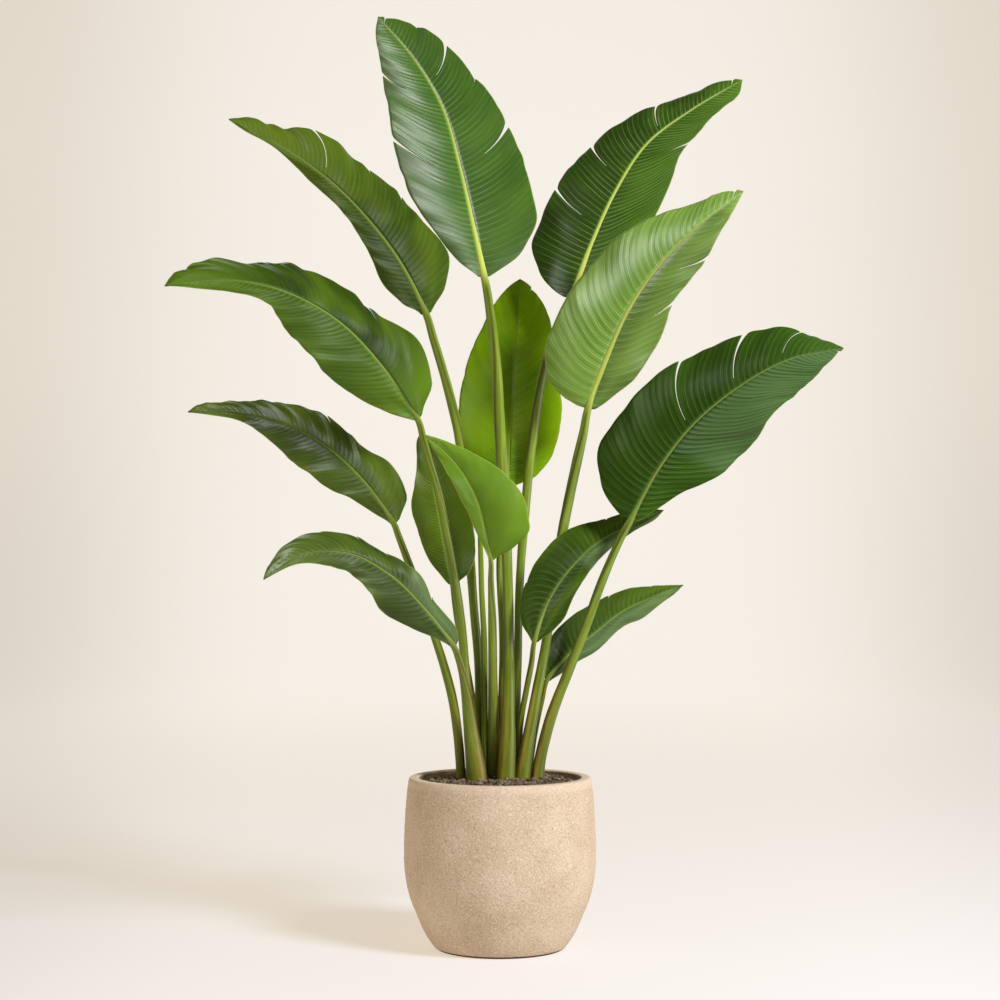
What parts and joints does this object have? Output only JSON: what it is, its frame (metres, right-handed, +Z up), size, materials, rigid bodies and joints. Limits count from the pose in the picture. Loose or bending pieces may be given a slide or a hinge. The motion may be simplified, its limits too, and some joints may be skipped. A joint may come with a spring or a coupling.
{
  "type": "potted bird of paradise plant",
  "caption": "Tall leafy house plant with long-stalked paddle leaves, standing in soil in a plain tapered round planter; free-standing.",
  "frame": {"origin": "middle of the planter's flat foot, on the surface it stands on", "axes": "+Z up along the planter's axis; -Y faces the viewer, the side that the leaves show their upper faces to; +X is the viewer's right"},
  "size_m": [1.0251, 0.4558, 1.5233],
  "materials": {
    "pot": "matt cast stone, warm beige, fine speckle and small pits",
    "soil": "dark crumbly potting soil with bits of bark, fully matt",
    "stalk": "smooth pale green leaf stalk, satin, yellow to rust streaks near the foot",
    "deep": "smooth leathery leaf, satin, fine side veins square to a pale midrib, deepest green",
    "dark": "smooth leathery leaf, satin, fine side veins square to a pale midrib, dark green",
    "mid": "smooth leathery leaf, satin, fine side veins square to a pale midrib, mid green",
    "light": "smooth leathery leaf, satin, fine side veins square to a pale midrib, light green",
    "bright": "thin young leaf, yellow green with light coming through it, darker along the middle",
    "young": "young leaf, bright smooth green, satin"
  },
  "bodies": {
    "root": {"pot": "pot", "soil": "soil", "leaf_01": "mid", "leaf_02": "dark", "leaf_03": "dark", "leaf_04": "dark", "leaf_05": "dark", "leaf_06": "mid", "leaf_07": "light", "leaf_08": "deep", "leaf_09": "dark", "leaf_10": "dark", "leaf_11": "bright", "leaf_12": "young", "leaf_13": "young", "new_leaf": "stalk"}
  },
  "joints": []
}
